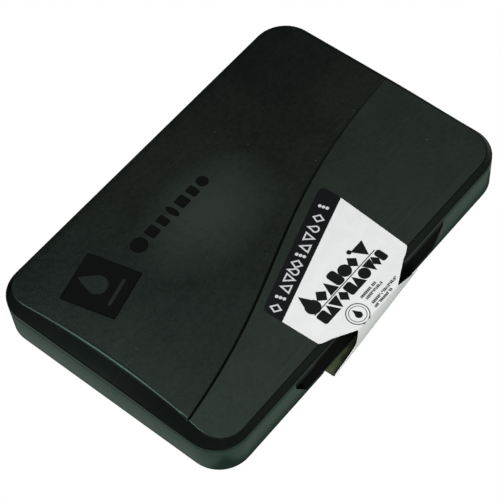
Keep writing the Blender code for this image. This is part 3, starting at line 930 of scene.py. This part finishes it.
def label_lid_part(materials):
    columns, lid_rows, free_rows = 60, 40, 22
    rows = []
    for k in range(lid_rows):
        share = k / lid_rows
        row = []
        for c in range(columns + 1):
            across = eased(c, columns)
            start = top_edge_y(across)
            y = start + (FOLD_Y + 1.0 - start) * share
            left, right = side_x(y)
            x = left + (right - left) * across
            row.append((x, y, lid_label_z(x, y), y - FOLD_Y))
        rows.append(row)
    for k in range(free_rows + 1):
        y = FOLD_Y + 1.0 + (WAIST_Y - FOLD_Y - 1.0) * k / free_rows
        left, right = side_x(y)
        rows.append([(x, y, lid_label_z(x, y), y - FOLD_Y)
                     for x in (left + (right - left) * eased(c, columns) for c in range(columns + 1))])
    body = sheet_piece("label_upper", rows, materials)
    settle(body, 50, "lid", "label_lid_part")


def between(table, key):
    """The rest of a row of the table, at a key between the first numbers of its rows (which fall)."""
    for (k0, *high), (k1, *low) in zip(table, table[1:]):
        if key >= k1:
            t = (k0 - key) / (k0 - k1)
            return [a + (b - a) * t for a, b in zip(high, low)]
    return table[-1][1:]


def heel_y(x):
    """Front of the bend at the table, which runs slantwise in front of the case."""
    (x0, y0), (x1, y1) = HEEL_LEFT, HEEL_RIGHT
    return y0 + (y1 - y0) * (x - x0) / (x1 - x0)


def spaced(left, right, columns):
    """Points along X from left to right, evenly spaced."""
    return [left + (right - left) * c / columns for c in range(columns + 1)]


def label_base_part(materials):
    """From the crease down and back to the table, round a soft bend, and on under the base."""
    columns, front_rows, bend_steps, under_rows = 48, 34, 8, 10
    crease_y, crease_z = WAIST_Y - 0.02, FRONT_EDGES[0][0]
    bend = 1.1
    low_z = UNDER_Z + bend
    tall = crease_z - low_z
    rows = []
    path = WAIST_Y - FOLD_Y
    for k in range(front_rows + 1):
        share = k / front_rows
        z = crease_z - tall * share
        bow = 0.35 * math.sin(math.pi * share)
        rows.append([(x, crease_y + (heel_y(x) - crease_y) * share - bow, z, path - (crease_z - z))
                     for x in spaced(*between(FRONT_EDGES, z), columns)])
    path -= tall
    across = spaced(*FRONT_EDGES[-1][1:], columns)
    for k in range(1, bend_steps + 1):
        turn = math.radians(90 * k / bend_steps)
        rows.append([(x, heel_y(x) + bend * (1 - math.cos(turn)), low_z - bend * math.sin(turn),
                      path - bend * turn) for x in across])
    path -= bend * math.pi / 2
    for k in range(1, under_rows + 1):
        row = []
        for x in across:
            back = (END_Y - heel_y(x) - bend) * k / under_rows
            row.append((x, heel_y(x) + bend + back, UNDER_Z, path - back))
        rows.append(row)
    body = sheet_piece("label_lower", rows, materials)
    settle(body, 50, "base", "label_base_part")


class Print:
    """Flat shapes for a printed mark, as distances in millimetres that are negative inside the shape."""

    def __init__(self, shader, place):
        self.s, self.place = shader, place

    def away(self, middle):
        return self.s.vector("SUBTRACT", self.place, (*middle, 0))

    def block(self, middle, half, radius=0.2):
        s = self.s
        off = s.vector("SUBTRACT", s.vector("ABSOLUTE", self.away(middle)),
                       (half[0] - radius, half[1] - radius, 0))
        return s.minus(s.vector("LENGTH", s.vector("MAXIMUM", off)), radius)

    def disc(self, middle, radius):
        return self.s.minus(self.s.vector("LENGTH", self.away(middle)), radius)

    def lozenge(self, middle, half):
        s = self.s
        x, y = s.axes(self.away(middle))
        steep = half[0] / half[1]
        sum_of = s.times_plus(s.math("ABSOLUTE", y), steep, s.math("ABSOLUTE", x))
        return s.times(s.minus(sum_of, half[0]), 1 / math.hypot(1, steep))

    def triangle(self, middle, half, up=1):
        s = self.s
        x, y = s.axes(self.away(middle))
        y = s.times(y, up)
        steep = half[0] / (2 * half[1])
        side = s.times_plus(y, steep, s.math("ABSOLUTE", x))
        side = s.times(s.minus(side, half[0] / 2), 1 / math.hypot(1, steep))
        return s.math("MAXIMUM", side, s.minus(s.times(y, -1.0), half[1]))

    def drop(self, middle, radius):
        """Round belly with a point above it."""
        belly = self.disc((middle[0], middle[1] - radius * 0.45), radius)
        point = self.triangle((middle[0], middle[1] + radius * 0.80), (radius * 0.88, radius * 0.98))
        return self.s.math("MINIMUM", belly, point)

    def line(self, shape, half):
        return self.s.minus(self.s.math("ABSOLUTE", shape), half)

    def together(self, shapes):
        found = None
        for shape in shapes:
            found = shape if found is None else self.s.math("MINIMUM", found, shape)
        return found

    def ink(self, shape, soft=0.05):
        return self.s.spread(shape, soft, -soft)


# In label coordinates: the line between the strip and the white, and the row of signs along the strip
STRIP_SLOPE, STRIP_LEFT = 0.2954, 12.1
SIGNS_SLOPE, SIGNS_PIVOT, SIGNS_LEVEL = 0.2985, 14.0, 15.3


def strip_marks(s, spot):
    """Row of twelve thin white signs along the strip, in a frame turned along it."""
    turned = s.node("ShaderNodeVectorRotate", {"rotation_type": "Z_AXIS"}, Vector=spot,
                    Center=(TOP_LEFT, SIGNS_PIVOT, 0), Angle=-math.atan(SIGNS_SLOPE)).outputs["Vector"]
    art = Print(s, turned)
    y, tall = SIGNS_LEVEL, 1.6
    shapes = []
    for index, along in enumerate((3.3, 6.8, 10.1, 13.2, 15.7, 18.2, 21.1, 23.9, 27.4, 30.5, 34.1, 38.1)):
        x = TOP_LEFT + along
        kind = index % 5
        if kind == 1:
            shapes += [art.disc((x, y + up), 0.5) for up in (-1.0, 0.1, 1.2)]
            continue
        if kind == 0:
            sign = art.lozenge((x, y), (1.15, tall - 0.1))
        elif kind == 4:
            sign = art.drop((x, y - 0.1), 0.95)
        else:
            sign = art.triangle((x, y), (1.2, tall - 0.25), 1 if kind == 2 else -1)
        shapes.append(art.line(sign, 0.22))
    return art.ink(art.together(shapes))


def bold_marks(s, spot):
    """Two bold rows of signs with a thin rule between them, and the ring seal with its ink drop."""
    art = Print(s, spot)
    low, x_high, high = 7.15, 3.7, 5.1
    middle_low, middle_high = low + x_high / 2, low + high / 2
    shapes = [
        art.drop((-13.2, middle_high - 0.1), 2.15),
        art.lozenge((-9.1, middle_low), (1.75, x_high / 2)),
        art.triangle((-5.7, middle_low), (1.6, x_high / 2)),
        art.block((-2.4, middle_low + 0.5), (1.35, x_high / 2 + 0.5), 0.9),
        art.disc((1.0, middle_low), x_high / 2),
        art.lozenge((4.4, middle_low), (1.5, x_high / 2)),
        art.disc((6.3, low + 4.5), 0.6),
        art.triangle((9.0, middle_low + 0.2), (2.3, x_high / 2 + 0.2), -1)]
    level, half = 4.3, 1.75
    shapes += [
        art.block((-13.7, level), (1.45, half), 0.6),
        art.triangle((-10.7, level), (1.6, half)),
        art.triangle((-8.2, level), (1.6, half), -1),
        art.lozenge((-5.4, level), (1.4, half)),
        art.block((-2.4, level), (1.35, half), 0.6),
        art.triangle((0.5, level), (1.6, half)),
        art.disc((3.6, level), half - 0.1),
        art.triangle((6.5, level), (1.5, half), -1),
        art.lozenge((8.6, level), (1.1, half)),
        art.block((10.9, level), (1.0, half), 0.6)]
    shapes = [s.minus(art.together(shapes), 0.14), art.block((-1.9, 6.66), (13.1, 0.15), 0.05)]
    seal = (-7.6, -2.0)
    shapes += [art.line(art.disc(seal, 3.2), 0.14), art.line(art.disc(seal, 2.45), 0.10),
               art.drop((seal[0], seal[1] + 0.1), 1.05)]
    return art.ink(art.together(shapes))


def small_rows(s, spot, x, path):
    """Four rows of tiny marks, broken into word-long runs, that stand for small print."""
    art = Print(s, spot)
    left = -3.2
    rows = [art.block(((left + right) / 2, level), ((right - left) / 2, 0.42), 0.05)
            for right, level in ((3.2, 0.35), (4.2, -0.95), (8.0, -3.0), (4.3, -4.25))]
    cell = s.times(x, 1.9)
    pair = s.node("ShaderNodeCombineXYZ", X=s.math("FLOOR", cell), Y=s.math("FLOOR", path)).outputs["Vector"]
    tone = s.node("ShaderNodeTexWhiteNoise", {"noise_dimensions": "2D"}, Vector=pair).outputs["Value"]
    stems = s.math("GREATER_THAN", s.math("FRACT", cell), 0.2)
    solid = s.times(stems, s.spread(tone, 0.1, 0.25))
    return s.times(art.ink(art.together(rows)), solid)


def label_face(name):
    """Coated white paper with its generic print: a slanted black strip, plain signs, a ring seal."""
    s = Shader(name)
    spot = s.vector("SUBTRACT", s.uv(), (0.5, 0.5, 0))
    spot = s.vector("MULTIPLY", spot, (100.0, 100.0, 0.0))
    x, path = s.axes(spot)
    below = s.times_plus(x, STRIP_SLOPE, STRIP_LEFT - TOP_LEFT * STRIP_SLOPE)
    strip = s.spread(s.minus(path, below), -0.06, 0.06)
    place = s.place()
    fibres = s.spread(s.noise(place, 260.0, 3.0), 0.3, 0.7)
    paper = s.mix(fibres, (0.81, 0.805, 0.80, 1), (0.86, 0.855, 0.85, 1))
    shade = s.mix(small_rows(s, spot, x, path), paper, grey(0.03))
    shade = s.mix(bold_marks(s, spot), shade, grey(0.006))
    shade = s.mix(strip, shade, (0.004, 0.004, 0.005, 1))
    shade = s.mix(s.times(strip_marks(s, spot), strip), shade, grey(0.66))
    waves = s.bump(s.noise(place, 120.0, 2.0), 0.05, 0.0004)
    normal = s.bump(s.noise(place, 1500.0, 2.0), 0.05, 0.00004, waves)
    return s.finish(Base_Color=shade, Roughness=s.spread(s.noise(place, 90.0), 0.3, 0.7, 0.26, 0.36),
                    Normal=normal, IOR=1.45, Specular_IOR_Level=0.35)


def label_reverse(name):
    """Inner side of the label: dark olive as painted shade on the label's back, in random clouds."""
    s = Shader(name)
    place = s.place()
    cloud = s.noise(place, 240.0, 4.0, 0.6)
    # Painted shade: the dark olive colours stand for the label's back in shadow.
    shade = s.mix(s.spread(cloud, 0.3, 0.7), (0.035, 0.044, 0.022, 1), (0.120, 0.145, 0.080, 1))
    normal = s.bump(s.noise(place, 900.0, 3.0), 0.25, 0.0001)
    return s.finish(Base_Color=shade, Roughness=s.spread(cloud, 0.3, 0.7, 0.25, 0.45), Normal=normal)


# ---------------------------------------------------------------- soft materials

def felt_finish(name, dark, light, seed):
    s = Shader(name)
    place = s.place()
    shifted = s.vector("ADD", place, (seed, 0, 0))
    coarse = s.noise(shifted, 420.0, 6.0, 0.7)
    strands = s.noise(s.stretch(shifted, (900.0, 160.0, 400.0), 0.6), 1.0, 5.0, 0.7)
    crossing = s.noise(s.stretch(shifted, (160.0, 900.0, 400.0), 0.2), 1.0, 5.0, 0.7)
    strands = s.math("MAXIMUM", strands, crossing)
    both = s.times(coarse, strands)
    shade = s.mix(s.spread(both, 0.18, 0.46), dark, light)
    normal = s.bump(both, 0.9, 0.0006)
    return s.finish(Base_Color=shade, Roughness=0.92, Normal=normal, Sheen_Weight=0.25, Sheen_Roughness=0.6)


def cloth_finish(name):
    """Plain weave, wet with black ink: threads of 0.42 mm pitch, slightly uneven, with a damp sheen."""
    s = Shader(name)
    place = s.place()
    wobble = s.vector("MULTIPLY", s.node("ShaderNodeTexNoise", Vector=place, Scale=110.0,
                                         Detail=2.0).outputs["Color"], (0.0006, 0.0006, 0))
    turns = 2 * math.pi / 0.00084
    warp, weft = (s.math("SINE", s.times(axis, turns))
                  for axis in s.axes(s.vector("ADD", place, wobble)))
    over = s.times(warp, weft)
    threads = s.math("POWER", s.math("ABSOLUTE", over), 0.5)
    twist = s.noise(s.stretch(place, (2500.0, 2500.0, 1500.0), 0.78), 1.0, 2.0)
    height = s.times_plus(twist, 0.25, s.times_plus(over, 0.25, threads))
    damp = s.noise(place, 48.0, 3.0)
    # Painted shade: the colour follows the weave's height, darker where the threads dip.
    shade = s.mix(s.spread(height, 0.1, 1.1), (0.0035, 0.0035, 0.0045, 1), (0.020, 0.020, 0.026, 1))
    return s.finish(Base_Color=shade, Roughness=s.spread(damp, 0.35, 0.65, 0.42, 0.62),
                    Normal=s.bump(height, 0.7, 0.00012), Sheen_Weight=0.15)


def board_finish(name):
    s = Shader(name)
    place = s.place()
    fibres = s.noise(s.stretch(place, (260.0, 1200.0, 900.0), 0.3), 1.0, 5.0, 0.7)
    flecks = s.math("GREATER_THAN", s.noise(place, 1400.0, 2.0), 0.66)
    shade = s.mix(s.spread(fibres, 0.3, 0.7), (0.23, 0.20, 0.155, 1), (0.36, 0.32, 0.25, 1))
    shade = s.mix(s.times(flecks, 0.5), shade, (0.12, 0.10, 0.08, 1))
    return s.finish(Base_Color=shade, Roughness=0.9, Normal=s.bump(fibres, 0.4, 0.0001))


# ---------------------------------------------------------------- stage

def area_light(name, way, far, size, power, colour):
    """Square light that looks at the middle of the case from a distance."""
    data = bpy.data.lights.new(name, "AREA")
    data.shape = "RECTANGLE"
    data.size, data.size_y = size, size
    data.energy = power
    data.color = colour
    made = bpy.data.objects.new(name, data)
    bpy.context.scene.collection.objects.link(made)
    made.location = Vector(way) * far
    made.rotation_euler = (-made.location).to_track_quat("-Z", "Y").to_euler()
    return made


# Sky: radiance at heights above the horizon, given as the sine of the elevation.
SKY = ((-1.0, 0.05), (0.0, 0.05), (0.62, 0.07), (0.76, 0.11), (0.84, 0.18), (0.91, 0.34), (1.0, 0.42))


def sky():
    world = bpy.data.worlds.new("studio")
    bpy.context.scene.world = world
    world.use_nodes = True
    tree = world.node_tree
    place = tree.nodes.new("ShaderNodeTexCoord")
    axes = tree.nodes.new("ShaderNodeSeparateXYZ")
    level = tree.nodes.new("ShaderNodeMapRange")
    level.inputs["From Min"].default_value = -1.0
    ramp = tree.nodes.new("ShaderNodeValToRGB")
    stops = ramp.color_ramp.elements
    while len(stops) < len(SKY):
        stops.new(0.5)
    for stop, (height, radiance) in zip(stops, SKY):
        stop.position = (height + 1) / 2
        stop.color = (radiance, radiance, radiance, 1)
    tree.links.new(place.outputs["Generated"], axes.inputs["Vector"])
    tree.links.new(axes.outputs["Z"], level.inputs["Value"])
    tree.links.new(level.outputs["Result"], ramp.inputs["Fac"])
    tree.links.new(ramp.outputs["Color"], tree.nodes["Background"].inputs["Color"])


def white_floor():
    """Plain floor: pure white to look at. To everything else it glows greenish as painted bounce light,
    brightest close to the case, with painted shade under the case and behind it.
    """
    s = Shader("white_floor")
    half = ((CASE_X - 1.5) * MM, (CASE_Y - 1.5) * MM, 0)
    off = s.vector("SUBTRACT", s.vector("ABSOLUTE", s.place()), half)
    far = s.vector("LENGTH", s.vector("MAXIMUM", off))
    # Painted light and shade for everything but the camera: the glow is strongest near the case, drops under
    # its foot and fades behind it.
    painted_bounce_strength = s.times(s.spread(far, 0.010, 0.05, 0.29, 0.09), s.spread(far, 0.0, 0.0015, 0.15, 1.0))
    x, y = s.axes(s.place())
    behind = s.times_plus(x, 0.5, y)
    painted_bounce_strength = s.times(painted_bounce_strength, s.spread(behind, 0.005, 0.025, 1.0, 0.12))
    painted_bounce = s.node("ShaderNodeEmission", Color=(0.82, 1.0, 0.89, 1), Strength=painted_bounce_strength)
    glow = s.node("ShaderNodeEmission", Color=(1, 1, 1, 1), Strength=1.0)
    pick = s.node("ShaderNodeMixShader")
    s.put(pick.inputs[0], s.node("ShaderNodeLightPath").outputs["Is Camera Ray"])
    s.put(pick.inputs[1], painted_bounce.outputs[0])
    s.put(pick.inputs[2], glow.outputs[0])
    s.put(s.output.inputs["Surface"], pick.outputs[0])
    bpy.ops.mesh.primitive_plane_add(size=6.0, location=(0, 0, 0))
    floor = bpy.context.object
    floor.name = "floor"
    floor.data.materials.append(s.material)


def stage():
    """The key lights the top and its edges from behind; the fill lights the walls towards the viewer."""
    white_floor()
    sky()
    bpy.context.scene.view_settings.view_transform = "Standard"
    area_light("key", (-0.12, 0.40, 0.908), 0.8, 0.22, 0.9, (0.72, 1.0, 0.97))
    fill = area_light("fill", (-0.45, -0.67, 0.60), 1.0, 0.8, 13.2, (1, 1, 1))
    fill.visible_glossy = False


LENS, SHIFT = 128.1, (0.025, 0.004)
EYE, EYE_FORWARD, EYE_UP = (-201.3, -195.4, 415.2), (0.3930, 0.3960, -0.8299), (0.6644, 0.5017, 0.5540)


def camera():
    """Lens and place come from the case's own perspective."""
    data = bpy.data.cameras.new("camera")
    data.sensor_width = 36.0
    data.lens = LENS
    data.shift_x, data.shift_y = SHIFT
    data.clip_start, data.clip_end = 0.01, 20.0
    made = bpy.data.objects.new("camera", data)
    bpy.context.scene.collection.objects.link(made)
    forward = Vector(EYE_FORWARD).normalized()
    right = forward.cross(Vector(EYE_UP)).normalized()
    turn = Matrix((right, right.cross(forward), -forward)).transposed().to_4x4()
    made.matrix_world = Matrix.Translation(metres(EYE)) @ turn
    bpy.context.scene.camera = made


# ---------------------------------------------------------------- assembly

def main():
    tint = (0.80, 1.0, 0.90)
    lid_polish = polished_plastic("lid_polished", (0.0034, 0.0044, 0.0038), tint, 0.24)
    lid_texture = textured_top("lid_textured", (0.0024, 0.0031, 0.0025), (0.0220, 0.0278, 0.0226), tint)
    shaded = polished_plastic("shaded_black", (0.0058, 0.0066, 0.0060), tint, 0.30, 1.08)
    # The base is the lid's black plastic, coloured lighter and greener as painted reflection of the floor on
    # its walls.
    base_plastic = polished_plastic("base_black", (0.0105, 0.0245, 0.0170), (0.45, 1.0, 0.75), 0.26)
    deck_plastic = polished_plastic("deck_black", (0.0070, 0.0080, 0.0075), (0.9, 1.0, 0.95), 0.38)
    paper = [label_face("label_print"), label_reverse("label_back_painted_shade")]
    base_tray(base_plastic, shaded)
    pad_frame(deck_plastic)
    backing_board(board_finish("chipboard"))
    coarse_felt = felt_finish("felt_coarse", (0.010, 0.010, 0.013, 1), (0.045, 0.045, 0.052, 1), 0.0)
    fine_felt = felt_finish("felt_fine", (0.007, 0.007, 0.010, 1), (0.030, 0.030, 0.036, 1), 0.4)
    felt_block("felt_core_block", core_low, core_high, 0.5, 0.25, coarse_felt, 1.0, "felt_core")
    felt_block("felt_facing_layer", facing_low, facing_high, 0.25, 0.2, fine_felt, 5.0, "felt_facing")
    pad_cloth(cloth_finish("inked_weave"))
    lid_shell(lid_texture, lid_polish, shaded, groove_painted_shade("groove_painted_shade"))
    label_lid_part(paper)
    label_base_part(paper)
    stage()
    camera()


main()
